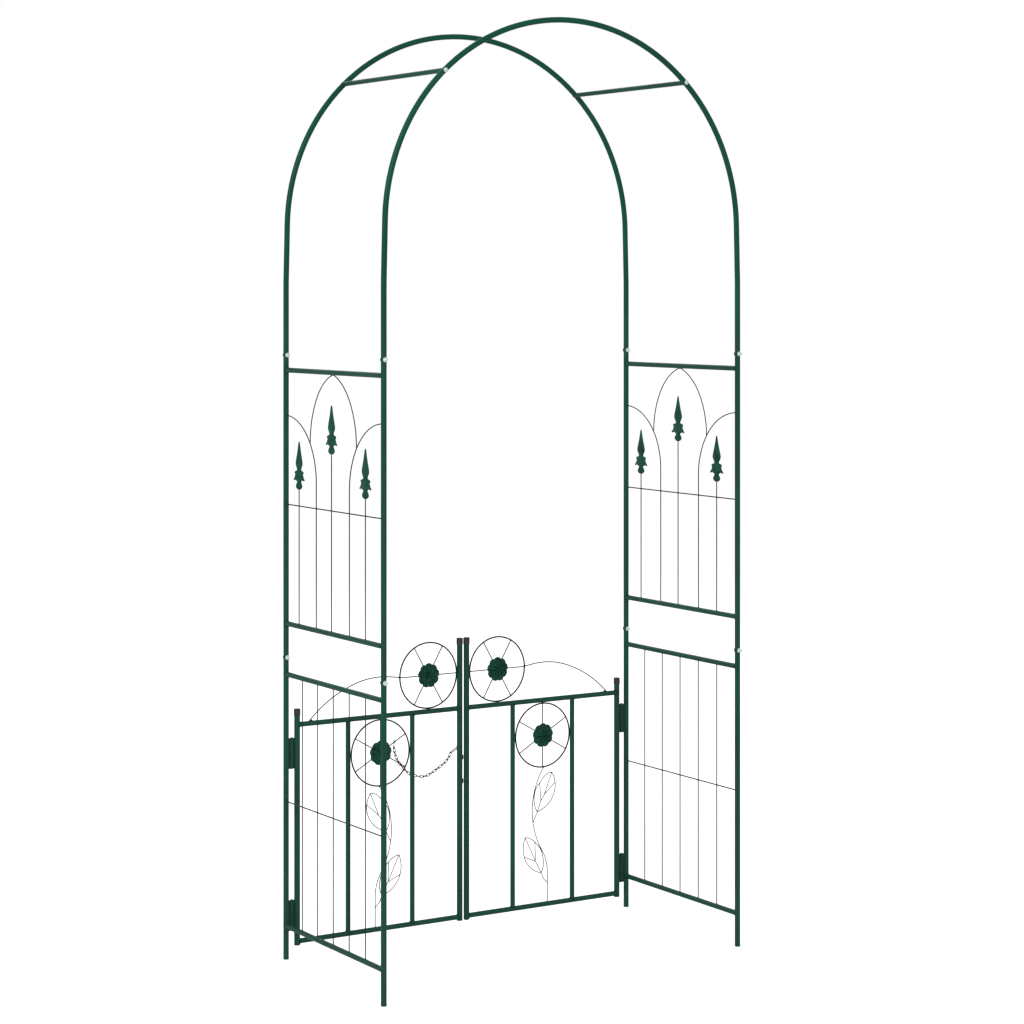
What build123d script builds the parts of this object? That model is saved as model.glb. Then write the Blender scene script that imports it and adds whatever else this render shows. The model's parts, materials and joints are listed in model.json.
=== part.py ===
# Garden trellis arch: two ladder-like side panels, two bent hoops and a two-leaf gate.
# X runs across the walkway, +Y runs through it towards the gate, +Z is up.
# The origin is on the ground, in the middle of the four feet. Lengths are in millimetres.
import math
import os

from build123d import *

os.makedirs("parts", exist_ok=True)

# Plan of the frame
post_x = 518.75
post_y = 250.5
sides = {"left": -1, "right": 1}
rows = {"front": -1, "rear": 1}

# Tubes and wires (outside diameters)
post_od = 14.0
stile_od = 15.0
rail_od = 13.0
bar_od = 12.5
crossbar_od = 12.0
tube_wall = 1.2
upright_wire = 2.8
cross_wire = 3.2
wire_bite = 0.1          # how far two crossing wires are pressed into each other when welded
ring_wire = 4.0
spoke_wire = 2.8
leaf_wire = 2.2
leaf_inner_wire = 2.1
vein_wire = 2.0
arch_wire = 2.7
weld_dot = 1.5           # radius of the weld where thin wires meet

# Levels (centre lines of the rails, joints of the posts)
lower_bottom_rail_z = 83.8
lower_top_rail_z = 716.0
upper_bottom_rail_z = 843.4
upper_top_rail_z = 1479.7
lower_cross_wire_z = 397.7
upper_cross_wire_z = 1143.4
lower_joint_z = 758.0
upper_joint_z = 1517.0
swage_below_bolt = 15.0
swage_above_bolt = 17.0
swage_od = 11.4
swage_wall = 1.2

# Hoops: each is two shoulders and a crown
lean_start_z = 1683.0
lean_run = 30.0          # height of the soft bend into the leaning stretch
lean_angle = 1.31        # degrees from upright
arc_start_z = 1845.0
crown_radius = 519.7
crown_centre_z = 1823.3
crown_end_angle = 46.3   # degrees above the horizontal, seen from the crown's centre
crossbar_angle = 47.2
swage_end_angle = 49.5

# Fasteners
bolt_d = 5.0
bolt_hole_d = 5.4
head_d = 11.5
head_h = 3.2
head_rim = 0.6
nut_flange_h = 1.2
nut_across_flats = 8.5
nut_hex_h = 4.2
nut_crown = 3.5          # rise of the dome at the closed end
nut_height = 10.0
insert_length = 25.0

# Side panel infill
lower_wire_pitch = 81.0
spear_pitch = 170.5
spear_shift = 9.0        # the three spear rods stand a little towards the gate
scroll_half_gap = 85.0
scroll_shift = 3.0
scroll_post_z = 1366.0   # where the curved rods meet their posts
arch_foot_z = 1302.0
arch_foot_in = 0.9       # the pointed arch's feet sit a little inside the curved rods
arch_knee = (81.5, 1417.5)
arch_middle = 2.0
spear_tip_z = {-1: 1304.0, 0: 1400.5, 1: 1304.0}
spear_length = 121.0

# Gate leaves
gate_bottom_rail_z = 40.5
gate_top_rail_z = 586.0
hinge_stile_x = 487.7
meeting_stile_x = 10.4
stile_foot_z = 31.0
hinge_stile_top_z = 626.0
meeting_stile_top_z = 770.0
gate_bar_x = (153.4, 342.0)
ring_radius = 85.0       # to the middle of the wire
upper_ring = (105.2, 679.7)
lower_ring = (247.7, 492.2)
hub_radius = 11.0
spoke_end_gap = 0.1      # filled by the weld where a spoke meets the ring
cap_wall = 0.9
cap_skirt = 17.0
cap_roof = 1.5

# Rosettes
petal_rows = ((9, 21.5, 10.3, 2.2), (7, 11.5, 6.6, 2.4))    # petals, pitch radius, petal radius, thickness
bud_radius = 8.5
bud_height = 4.2

# Hinges
hinge_x = 503.2
hinge_levels = (69.0, 476.5)
knuckle_d = 9.0
knuckle_heights = (25.5, 25.0, 25.5)
knuckle_gap = 0.5
pin_d = 5.0
pin_clearance = 0.05
pin_head_d = 8.0
pin_head_h = 2.4
hinge_plate = 2.5
plate_gap = 0.6          # between a plate's edge and the other half's knuckle

# Latch chain and its wire fittings
staple_wire = 3.0
staple_levels = (457.5, 395.5)
staple_half_height = 5.2
eye_half_height = 7.0
eye_centre = (-meeting_stile_x, post_y + 12.7, 481.0)
link_wire = 2.0
link_inner_width = 4.0
link_slack = 0.1
long_link_wire = 2.2
long_link_inner_width = 5.2
long_link_slack = 0.5
nominal_pitch = 10.4
hook_x = -206.0
hook_radius = 3.1
hook_tip_drop = 3.0
hook_eye_radius = 3.5
hook_eye_z = 501.6
chain_route = [
    (-30.6, 263.0, 469.6), (-39.4, 262.8, 453.9), (-56.1, 262.6, 440.4), (-74.4, 262.4, 430.3),
    (-92.6, 262.2, 420.8), (-112.0, 262.0, 415.8), (-133.0, 262.0, 419.0), (-157.0, 262.0, 427.8),
    (-172.4, 260.3, 442.0), (-188.8, 258.0, 459.5), (-196.5, 256.3, 471.5), (-203.0, 254.7, 487.0),
    (hook_x, post_y + hook_radius, hook_eye_z - hook_eye_radius + link_wire / 2 + link_slack),
]

gate_plane = Plane((0, post_y, 0), x_dir=(1, 0, 0), z_dir=(0, -1, 0))


def side_plane(x):
    # local x is the row's Y and local y is its Z
    return Plane((x, 0, 0), x_dir=(0, 1, 0), z_dir=(1, 0, 0))


def bar(start, end, diameter, bore=0.0, mode=Mode.ADD):
    # a straight round bar or tube between two points
    run = Vector(*end) - Vector(*start)
    with BuildSketch(Plane(Vector(*start), z_dir=run)) as section:
        Circle(diameter / 2)
        if bore:
            Circle(bore / 2, mode=Mode.SUBTRACT)
    extrude(section.sketch, amount=run.length, mode=mode)


def bent_bar(path, diameter, bore=0.0):
    # a round bar or tube that follows a path
    with BuildSketch(Plane(path @ 0, z_dir=path % 0)) as section:
        Circle(diameter / 2)
    sweep(section.sketch, path=path)
    if bore:
        with BuildSketch(Plane(path @ 0, z_dir=path % 0)) as hollow:
            Circle(bore / 2)
        sweep(hollow.sketch, path=path, mode=Mode.SUBTRACT)


def cut_post(x, y, diameter=post_od):
    bar((x, y, -10), (x, y, 2000), diameter, mode=Mode.SUBTRACT)


def cut_bolt_hole(x, y, z, diameter=bolt_hole_d):
    bar((x, y - 20, z), (x, y + 20, z), diameter, mode=Mode.SUBTRACT)


def write(part, name):
    part.label = name
    export_step(part, f"parts/{name}.step")


def swaged_tube(x, y, foot, seam, top):
    # a straight tube, drawn down above the seam so that the next tube sleeves over it
    outer, inner = post_od / 2, post_od / 2 - tube_wall
    neck, neck_inner = swage_od / 2, swage_od / 2 - swage_wall
    with BuildSketch(Plane((x, y, 0), x_dir=(1, 0, 0), z_dir=(0, -1, 0))) as half:
        Polygon(
            (inner, foot), (outer, foot), (outer, seam), (neck, seam), (neck, top),
            (neck_inner, top), (neck_inner, seam - 2), (inner, seam - 4), align=None,
        )
    revolve(half.sketch, axis=Axis((x, y, 0), (0, 0, 1)))


def crown_point(degrees, side=1):
    angle = math.radians(degrees)
    return side * crown_radius * math.cos(angle), crown_centre_z + crown_radius * math.sin(angle)


lower_seam_z = lower_joint_z - swage_below_bolt
upper_seam_z = upper_joint_z - swage_below_bolt
joint_x, joint_z = crown_point(crossbar_angle)

# Posts: lower and upper tube at each corner
for row, sy in rows.items():
    for side, sx in sides.items():
        x, y = sx * post_x, sy * post_y
        with BuildPart() as lower_post:
            swaged_tube(x, y, 0, lower_seam_z, lower_joint_z + swage_above_bolt)
            cut_bolt_hole(x, y, lower_joint_z)
        write(lower_post.part, f"lower_post_{row}_{side}")

        with BuildPart() as upper_post:
            swaged_tube(x, y, lower_seam_z, upper_seam_z, upper_joint_z + swage_above_bolt)
            cut_bolt_hole(x, y, lower_joint_z)
            cut_bolt_hole(x, y, upper_joint_z)
        write(upper_post.part, f"upper_post_{row}_{side}")

# Hoops: a shoulder rises from each upper post, leans in a little and then bends round
tube_bore = post_od - 2 * tube_wall
swage_bore = swage_od - 2 * swage_wall
lean = math.radians(lean_angle)
lean_in = lean_run * math.tan(lean / 2)
arc_start_x = post_x - lean_in - (arc_start_z - lean_start_z - lean_run) * math.tan(lean)
shoulder_end = crown_point(crown_end_angle)
for row, sy in rows.items():
    hoop_plane = Plane((0, sy * post_y, 0), x_dir=(1, 0, 0), z_dir=(0, -1, 0))
    for side, sx in sides.items():
        with BuildLine(hoop_plane) as shoulder_path:
            Line((sx * post_x, upper_seam_z), (sx * post_x, lean_start_z))
            TangentArc((sx * post_x, lean_start_z), (sx * (post_x - lean_in), lean_start_z + lean_run),
                       tangent=Vector(0, 0, 1))
            Line((sx * (post_x - lean_in), lean_start_z + lean_run), (sx * arc_start_x, arc_start_z))
            TangentArc((sx * arc_start_x, arc_start_z), (sx * shoulder_end[0], shoulder_end[1]),
                       tangent=Vector(-sx * math.sin(lean), 0, math.cos(lean)))
        swage_angles = [crown_end_angle, (crown_end_angle + swage_end_angle) / 2, swage_end_angle]
        with BuildLine(hoop_plane) as swage_path:
            ThreePointArc(*[crown_point(angle, sx) for angle in swage_angles])
        with BuildPart() as shoulder:
            bent_bar(shoulder_path.wire(), post_od, tube_bore)
            bent_bar(swage_path.wire(), swage_od, swage_bore)
            with BuildSketch(Plane(swage_path.wire() @ 0, z_dir=swage_path.wire() % 0)) as step:
                Circle(post_od / 2 - 0.4)
                Circle(swage_bore / 2, mode=Mode.SUBTRACT)
            extrude(step.sketch, amount=-4)
            cut_bolt_hole(sx * post_x, sy * post_y, upper_joint_z)
            cut_bolt_hole(sx * joint_x, sy * post_y, joint_z)
        write(shoulder.part, f"arch_shoulder_{row}_{side}")

    with BuildLine(hoop_plane) as crown_path:
        ThreePointArc(crown_point(crown_end_angle, -1), (0, crown_centre_z + crown_radius),
                      crown_point(crown_end_angle, 1))
    with BuildPart() as crown:
        bent_bar(crown_path.wire(), post_od, tube_bore)
        for sx in sides.values():
            cut_bolt_hole(sx * joint_x, sy * post_y, joint_z)
    write(crown.part, f"arch_crown_{row}")

# Crossbars, saddled to the hoops, with a threaded plug in each end
cope_d = post_od + 0.1
tangent_x, tangent_z = 20 * math.sin(math.radians(crossbar_angle)), 20 * math.cos(math.radians(crossbar_angle))
insert_face_y = post_y - post_od / 2 - 0.1
for side, sx in sides.items():
    with BuildPart() as crossbar:
        bar((sx * joint_x, -post_y, joint_z), (sx * joint_x, post_y, joint_z),
            crossbar_od, crossbar_od - 2 * tube_wall)
        for sy in rows.values():
            bar((sx * (joint_x + tangent_x), sy * post_y, joint_z - tangent_z),
                (sx * (joint_x - tangent_x), sy * post_y, joint_z + tangent_z), cope_d, mode=Mode.SUBTRACT)
    write(crossbar.part, f"crossbar_{side}")

with BuildPart() as crossbar_inserts:
    for sx in sides.values():
        for sy in rows.values():
            bar((sx * joint_x, sy * insert_face_y, joint_z),
                (sx * joint_x, sy * (insert_face_y - insert_length), joint_z),
                crossbar_od - 2 * tube_wall, bolt_d)
write(crossbar_inserts.part, "crossbar_inserts")


def dome(radius, low, high):
    # a round cap drawn in a half section: from its rim to its top on the axis
    rise = high - low
    ball = (radius ** 2 + rise ** 2) / (2 * rise)
    half_turn = math.asin(radius / ball) / 2
    ThreePointArc((radius, low), (ball * math.sin(half_turn), high - ball + ball * math.cos(half_turn)),
                  (0, high))


def domed_bolt(x, face_y, z, outward, shank):
    # head on the side that outward (+1 or -1 along Y) names, shank going the other way
    with BuildSketch(Plane((x, face_y, z), x_dir=(1, 0, 0), z_dir=(0, 0, outward))) as half:
        with BuildLine():
            Polyline((0, head_h), (0, -shank), (bolt_d / 2, -shank), (bolt_d / 2, 0), (head_d / 2, 0),
                     (head_d / 2, head_rim))
            dome(head_d / 2, head_rim, head_h)
        make_face()
    revolve(half.sketch, axis=Axis((x, face_y, z), (0, outward, 0)))


def cap_nut(x, face_y, z):
    # flanged cap nut that points to the front
    with BuildSketch(Plane((x, face_y, z), x_dir=(1, 0, 0), z_dir=(0, 0, -1))) as half:
        with BuildLine():
            Polyline((0, 0), (head_d / 2, 0), (head_d / 2, nut_flange_h * 0.6),
                     (nut_across_flats / 2, nut_flange_h),
                     (nut_across_flats / 2 - 0.3, nut_hex_h))
            Line((nut_across_flats / 2 - 0.3, nut_hex_h), (nut_across_flats / 2 - 0.3, nut_height - nut_crown))
            dome(nut_across_flats / 2 - 0.3, nut_height - nut_crown, nut_height)
            Line((0, nut_height), (0, 0))
        make_face()
    revolve(half.sketch, axis=Axis((x, face_y, z), (0, -1, 0)))
    with BuildSketch(Plane((x, face_y, z), x_dir=(1, 0, 0), z_dir=(0, -1, 0))) as hexagon:
        RegularPolygon(nut_across_flats / 2, 6, major_radius=False)
    extrude(hexagon.sketch, amount=nut_hex_h)
    bar((x, face_y, z), (x, face_y - nut_hex_h - 1, z), bolt_d, mode=Mode.SUBTRACT)


post_corners = [(sx * post_x, sy * post_y) for sx in sides.values() for sy in rows.values()]
with BuildPart() as post_bolts:
    for x, y in post_corners:
        for z in (lower_joint_z, upper_joint_z):
            domed_bolt(x, y + post_od / 2, z, 1, post_od + nut_hex_h)
write(post_bolts.part, "post_bolts")

with BuildPart() as post_nuts:
    for x, y in post_corners:
        for z in (lower_joint_z, upper_joint_z):
            cap_nut(x, y - post_od / 2, z)
write(post_nuts.part, "post_nuts")

with BuildPart() as crossbar_bolts:
    for sx in sides.values():
        for sy in rows.values():
            domed_bolt(sx * joint_x, sy * (post_y + post_od / 2), joint_z, sy, post_od + insert_length * 0.8)
write(crossbar_bolts.part, "crossbar_bolts")

# Side panels: rails, grilles and finials
panel_rails = {
    "lower": (lower_bottom_rail_z, lower_top_rail_z),
    "upper": (upper_bottom_rail_z, upper_top_rail_z),
}


def cut_rail(x, z):
    bar((x, -post_y, z), (x, post_y, z), rail_od, mode=Mode.SUBTRACT)


def cross_rod(x, z, outward):
    # the cross wire lies against the outside of the uprights
    offset = outward * ((upright_wire + cross_wire) / 2 - wire_bite)
    bar((x + offset, -post_y, z), (x + offset, post_y, z), cross_wire)
    for y in (-post_y, post_y):
        cut_post(x, y)


def finial(x, y, tip):
    # a cast spear point: a four-sided blade, a collar of two drooping leaves and a bud below
    # each station: how far below the tip it lies, half the width, half the thickness
    blade = [(0, 1.2, 1.2), (22, 7.6, 2.6), (55, 17.8, 4.6), (70, 8.0, 4.2)]
    sections = []
    for drop, half_width, half_thickness in blade:
        with BuildSketch(Plane((x, y, tip - drop), x_dir=(0, 1, 0), z_dir=(0, 0, 1))) as section:
            Polygon((half_width, 0), (0, half_thickness), (-half_width, 0), (0, -half_thickness), align=None)
        sections.append(section.sketch)
    loft(sections, ruled=True)
    right_half = [(0, -69), (8, -69), (14, -75), (22, -78), (23.5, -87), (28, -93), (28.5, -97), (20, -97.5),
                  (14, -94), (8.5, -99), (6.5, -103), (11, -106), (14, -111), (12, -117), (6, -120), (0, -121)]
    left_half = [(-w, d) for w, d in reversed(right_half[1:-1])]
    with BuildSketch(Plane((x, y, tip), x_dir=(0, 1, 0), z_dir=(1, 0, 0))) as collar:
        Polygon(*right_half, *left_half, align=None)
    extrude(collar.sketch, amount=4.2, both=True)


for side, sx in sides.items():
    x = sx * post_x
    for panel, levels in panel_rails.items():
        with BuildPart() as rails:
            for z in levels:
                bar((x, -post_y, z), (x, post_y, z), rail_od, rail_od - 2 * tube_wall)
            for y in (-post_y, post_y):
                cut_post(x, y)
        write(rails.part, f"{panel}_panel_rails_{side}")

    with BuildPart() as lower_grille:
        for step in range(-2, 3):
            y = step * lower_wire_pitch
            bar((x, y, lower_bottom_rail_z), (x, y, lower_top_rail_z), upright_wire)
        cross_rod(x, lower_cross_wire_z, sx)
        for z in panel_rails["lower"]:
            cut_rail(x, z)
    write(lower_grille.part, f"lower_grille_{side}")

    # each curved rod rises straight and then swings out to its post; the pointed arch stands on both
    with BuildPart() as upper_grille:
        for step, tip in spear_tip_z.items():
            y = spear_shift + step * spear_pitch
            bar((x, y, upper_bottom_rail_z), (x, y, tip - spear_length), upright_wire)
        for sy in rows.values():
            foot_y = scroll_shift + sy * scroll_half_gap
            reach = abs(sy * post_y - foot_y)
            spring_z = scroll_post_z - reach
            with BuildLine(side_plane(x)) as scroll_path:
                Line((foot_y, upper_bottom_rail_z), (foot_y, spring_z))
                CenterArc((sy * post_y, spring_z), reach, start_angle=90 + 90 * sy, arc_size=-90 * sy)
            bent_bar(scroll_path.wire(), upright_wire)
            start_y = sy * (post_y - math.sqrt(reach ** 2 - (arch_foot_z - spring_z) ** 2) - arch_foot_in)
            knee_y = arch_middle + sy * arch_knee[0]
            with BuildLine(side_plane(x)) as arch_path:
                foot_arc = TangentArc((start_y, arch_foot_z), (knee_y, arch_knee[1]), tangent=Vector(0, 0, 1))
                TangentArc((knee_y, arch_knee[1]), (0, upper_top_rail_z - 5), tangent=foot_arc % 1)
            bent_bar(arch_path.wire(), arch_wire)
        cross_rod(x, upper_cross_wire_z, sx)
        for z in panel_rails["upper"]:
            cut_rail(x, z)
    write(upper_grille.part, f"upper_grille_{side}")

    with BuildPart() as spear_finials:
        for step, tip in spear_tip_z.items():
            finial(x, spear_shift + step * spear_pitch, tip)
    write(spear_finials.part, f"spear_finials_{side}")


# Gate leaves
def spoked_ring(centre, first_spoke):
    # a closed ring of wire, and inside it a hub disc with three wires laid across it
    x, z = centre
    seam = math.radians(first_spoke + 25)
    dx, dz = math.cos(seam), math.sin(seam)
    with BuildSketch(Plane((x + ring_radius * dx, post_y, z + ring_radius * dz), x_dir=(dx, 0, dz),
                           z_dir=(-dz, 0, dx))) as section:
        Circle(ring_wire / 2)
    revolve(section.sketch, axis=Axis((x, post_y, z), (0, 1, 0)))
    with BuildSketch(Plane((x, post_y, z), z_dir=(0, -1, 0))) as hub:
        Circle(hub_radius)
    extrude(hub.sketch, amount=spoke_wire / 2, both=True)
    reach = ring_radius - ring_wire / 2 - spoke_end_gap
    for turn in range(3):
        angle = math.radians(first_spoke + 60 * turn)
        dx, dz = reach * math.cos(angle), reach * math.sin(angle)
        bar((x - dx, post_y, z - dz), (x + dx, post_y, z + dz), spoke_wire)


def rosette(centre):
    # two layers of round petals and a domed bud, on the front of the spokes
    x, z = centre
    back = post_y - spoke_wire / 2
    for petals, pitch_radius, petal_radius, thickness in petal_rows:
        front_plane = Plane((x, back, z), x_dir=(1, 0, 0), z_dir=(0, -1, 0))
        with BuildSketch(front_plane) as layer:
            Circle(pitch_radius)
            with PolarLocations(pitch_radius, petals, start_angle=90):
                Circle(petal_radius)
        extrude(layer.sketch, amount=thickness)
        back -= thickness
    with BuildSketch(Plane((x, back, z), x_dir=(1, 0, 0), z_dir=(0, 0, -1))) as half_bud:
        with BuildLine():
            Polyline((0, bud_height), (0, 0), (bud_radius, 0))
            dome(bud_radius, 0, bud_height)
        make_face()
    revolve(half_bud.sketch, axis=Axis((x, back, z), (0, -1, 0)))


def hinge_half(level, axis_x, tube_x, tube_od, knuckles, bore):
    # a plate welded along the tube, with the knuckles that this half owns
    toward = 1 if tube_x > axis_x else -1
    total = sum(knuckle_heights) + 2 * knuckle_gap
    floors = [0, knuckle_heights[0] + knuckle_gap, knuckle_heights[0] + knuckle_heights[1] + 2 * knuckle_gap]
    plate_start = axis_x + toward * (knuckle_d / 2 + plate_gap)
    with BuildSketch(Plane.XY.offset(level)) as plate:
        with Locations(((plate_start + tube_x) / 2, post_y)):
            Rectangle(abs(tube_x - plate_start), hinge_plate)
    extrude(plate.sketch, amount=total)
    for index in knuckles:
        low = level + floors[index]
        with BuildSketch(Plane.XY.offset(low)) as web:
            with Locations(((axis_x + tube_x) / 2, post_y)):
                Rectangle(abs(tube_x - axis_x), hinge_plate)
        extrude(web.sketch, amount=knuckle_heights[index])
        bar((axis_x, post_y, low), (axis_x, post_y, low + knuckle_heights[index]), knuckle_d)
    bar((axis_x, post_y, level - 1), (axis_x, post_y, level + total + 1), bore, mode=Mode.SUBTRACT)
    bar((tube_x, post_y, level - 1), (tube_x, post_y, level + total + 1), tube_od, mode=Mode.SUBTRACT)


def hinge_pin(level, axis_x):
    top = level + sum(knuckle_heights) + 2 * knuckle_gap
    bar((axis_x, post_y, level), (axis_x, post_y, top), pin_d)
    with BuildSketch(Plane((axis_x, post_y, top), x_dir=(1, 0, 0), z_dir=(0, -1, 0))) as half:
        with BuildLine():
            Polyline((0, pin_head_h), (0, 0), (pin_head_d / 2, 0), (pin_head_d / 2, 0.8))
            dome(pin_head_d / 2, 0.8, pin_head_h)
        make_face()
    revolve(half.sketch, axis=Axis((axis_x, post_y, top), (0, 0, 1)))


def stile_cap(x, top):
    outer = stile_od / 2 + cap_wall
    with BuildSketch(Plane((x, post_y, top), x_dir=(1, 0, 0), z_dir=(0, -1, 0))) as half:
        Polygon(
            (0, 0), (0, -cap_roof), (stile_od / 2, -cap_roof), (stile_od / 2, -cap_skirt),
            (outer, -cap_skirt), (outer, -1.0), (outer - 1.0, 0), align=None,
        )
    revolve(half.sketch, axis=Axis((x, post_y, top), (0, 0, 1)))


def flipped(points, sx):
    return [(sx * x, z) for x, z in points]


def wire_curve(points, sx, diameter):
    with BuildLine(gate_plane) as curve:
        Spline(*flipped(points, sx))
    bent_bar(curve.wire(), diameter)


def wire_straight(points, sx):
    for (x0, z0), (x1, z1) in zip(points, points[1:]):
        bar((sx * x0, post_y, z0), (sx * x1, post_y, z1), vein_wire)


leaves = (
    {   # the upper leaf leans outwards from the stem
        "outer": [(231.1, 289), (257, 300.5), (280, 325), (288, 354), (276.8, 390)],
        "inner": [(276.8, 390), (258, 385.3), (240, 367), (228.2, 353), (221.8, 333), (221.2, 316),
                  (231.1, 289)],
        "midrib": [(217.9, 262), (231.1, 289), (242.5, 317.5), (253.2, 333), (276.8, 390)],
        "veins": (((242.5, 317.5), (238.6, 365.4)), ((253.2, 333), (287.6, 362.5))),
    },
    {   # the lower leaf leans inwards
        "outer": [(193, 223.6), (209, 219.7), (228, 204.5), (240.8, 188.7), (249, 165), (250.3, 148),
                  (243.1, 125.5)],
        "inner": [(193, 223.6), (187, 202), (191, 169), (210, 141.8), (243.1, 125.5)],
        "midrib": [(262.9, 96), (250, 109.5), (243.1, 125.5), (225.4, 157.5), (193, 223.6)],
        "veins": (((225.4, 162), (223.2, 208.9)), ((225.4, 157.5), (190.3, 172.4))),
    },
)

for side, sx in sides.items():
    hinge_x_here, meeting_x_here = sx * hinge_stile_x, sx * meeting_stile_x

    with BuildPart() as hinge_stile:
        bar((hinge_x_here, post_y, stile_foot_z), (hinge_x_here, post_y, hinge_stile_top_z - cap_roof),
            stile_od, stile_od - 2 * tube_wall)
    write(hinge_stile.part, f"gate_hinge_stile_{side}")

    with BuildPart() as meeting_stile:
        bar((meeting_x_here, post_y, stile_foot_z), (meeting_x_here, post_y, meeting_stile_top_z - cap_roof),
            stile_od, stile_od - 2 * tube_wall)
    write(meeting_stile.part, f"gate_meeting_stile_{side}")

    for rail_name, z in (("bottom", gate_bottom_rail_z), ("top", gate_top_rail_z)):
        with BuildPart() as gate_rail:
            bar((meeting_x_here, post_y, z), (hinge_x_here, post_y, z), rail_od, rail_od - 2 * tube_wall)
            for x in (meeting_x_here, hinge_x_here):
                cut_post(x, post_y, stile_od)
        write(gate_rail.part, f"gate_{rail_name}_rail_{side}")

    with BuildPart() as gate_bars:
        for x in gate_bar_x:
            bar((sx * x, post_y, gate_bottom_rail_z), (sx * x, post_y, gate_top_rail_z), bar_od,
                bar_od - 2 * tube_wall)
        for z in (gate_bottom_rail_z, gate_top_rail_z):
            bar((meeting_x_here, post_y, z), (hinge_x_here, post_y, z), rail_od, mode=Mode.SUBTRACT)
    write(gate_bars.part, f"gate_bars_{side}")

    for ring_name, centre, first_spoke in (("upper", upper_ring, 0), ("lower", lower_ring, 30)):
        with BuildPart() as ring:
            spoked_ring((sx * centre[0], centre[1]), first_spoke)
        write(ring.part, f"{ring_name}_ring_{side}")

    with BuildPart() as rosettes:
        for centre in (upper_ring, lower_ring):
            rosette((sx * centre[0], centre[1]))
    write(rosettes.part, f"rosettes_{side}")

    # from the outer edge of the upper ring, over and down on to the top rail
    with BuildLine(gate_plane) as arched_path:
        Line((sx * 192.6, 681.2), (sx * 218, 684.7))
        TangentArc((sx * 218, 684.7), (sx * 249.4, 687), tangent=Vector(sx * 25.4, 0, 3.5))
        TangentArc((sx * 249.4, 687), (sx * 324, 674.6), tangent=Vector(sx, 0, 0))
        TangentArc((sx * 324, 674.6), (sx * 456, 589.5), tangent=Vector(sx, 0, -math.tan(math.radians(18.87))))
    with BuildPart() as arched_wire:
        bent_bar(arched_path.wire(), spoke_wire)
        bar((meeting_x_here, post_y, gate_top_rail_z), (hinge_x_here, post_y, gate_top_rail_z), rail_od,
            mode=Mode.SUBTRACT)
    write(arched_wire.part, f"arched_wire_{side}")

    # the stem sways out and back between the lower ring and the bottom rail
    with BuildLine(gate_plane) as stem_path:
        TangentArc((sx * 215, 293), (sx * 249.7, 403.9), tangent=Vector(0, 0, 1))
    with BuildLine(gate_plane) as stem_low_path:
        TangentArc((sx * 215, 293), (sx * 246, 184.5), tangent=Vector(0, 0, -1))
        TangentArc((sx * 246, 184.5), (sx * 262.9, 125.4),
                   tangent=Vector(sx * math.tan(math.radians(31.9)), 0, -1))
        Line((sx * 262.9, 125.4), (sx * 262.9, gate_bottom_rail_z))
    with BuildPart() as leafy_stem:
        bent_bar(stem_path.wire(), leaf_wire)
        bent_bar(stem_low_path.wire(), leaf_wire)
        for leaf in leaves:
            wire_curve(leaf["outer"], sx, leaf_wire)
            wire_curve(leaf["inner"], sx, leaf_inner_wire)
            wire_straight(leaf["midrib"], sx)
            for vein in leaf["veins"]:
                wire_straight(vein, sx)
            ends = ([leaf["outer"][0], leaf["outer"][-1]] + leaf["midrib"][:-1]
                    + [vein[1] for vein in leaf["veins"]])
            with Locations(*[(sx * x, post_y, z) for x, z in dict.fromkeys(ends)]):
                Sphere(weld_dot)
        bar((meeting_x_here, post_y, gate_bottom_rail_z), (hinge_x_here, post_y, gate_bottom_rail_z), rail_od,
            mode=Mode.SUBTRACT)
    write(leafy_stem.part, f"leafy_stem_{side}")

    with BuildPart() as stile_caps:
        stile_cap(hinge_x_here, hinge_stile_top_z)
        stile_cap(meeting_x_here, meeting_stile_top_z)
    write(stile_caps.part, f"stile_caps_{side}")

    axis_x = sx * hinge_x
    with BuildPart() as post_hinge_halves:
        for level in hinge_levels:
            hinge_half(level, axis_x, sx * post_x, post_od, (0, 2), pin_d)
    write(post_hinge_halves.part, f"post_hinge_halves_{side}")

    with BuildPart() as gate_hinge_halves:
        for level in hinge_levels:
            hinge_half(level, axis_x, hinge_x_here, stile_od, (1,), pin_d + 2 * pin_clearance)
    write(gate_hinge_halves.part, f"gate_hinge_halves_{side}")

with BuildPart() as hinge_pins:
    for sx in sides.values():
        for level in hinge_levels:
            hinge_pin(level, sx * hinge_x)
write(hinge_pins.part, "hinge_pins")

# Wire staples on the left meeting stile: two in the gap between the leaves, an eye at the back
with BuildPart() as stile_staples:
    for z in staple_levels:
        with BuildLine(gate_plane) as staple_path:
            FilletPolyline((-5, z + staple_half_height), (-0.6, z + staple_half_height),
                           (-0.6, z - staple_half_height), (-5, z - staple_half_height), radius=1.6)
        bent_bar(staple_path.wire(), staple_wire)
    eye_x, eye_y, eye_z = eye_centre
    with BuildLine(side_plane(eye_x)) as eye_path:
        FilletPolyline((post_y + 5, eye_z + eye_half_height), (eye_y, eye_z + eye_half_height),
                       (eye_y, eye_z - eye_half_height), (post_y + 5, eye_z - eye_half_height), radius=2)
    bent_bar(eye_path.wire(), staple_wire)
    bar((eye_x, post_y, 300), (eye_x, post_y, 600), stile_od, mode=Mode.SUBTRACT)
write(stile_staples.part, "stile_staples")


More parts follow.
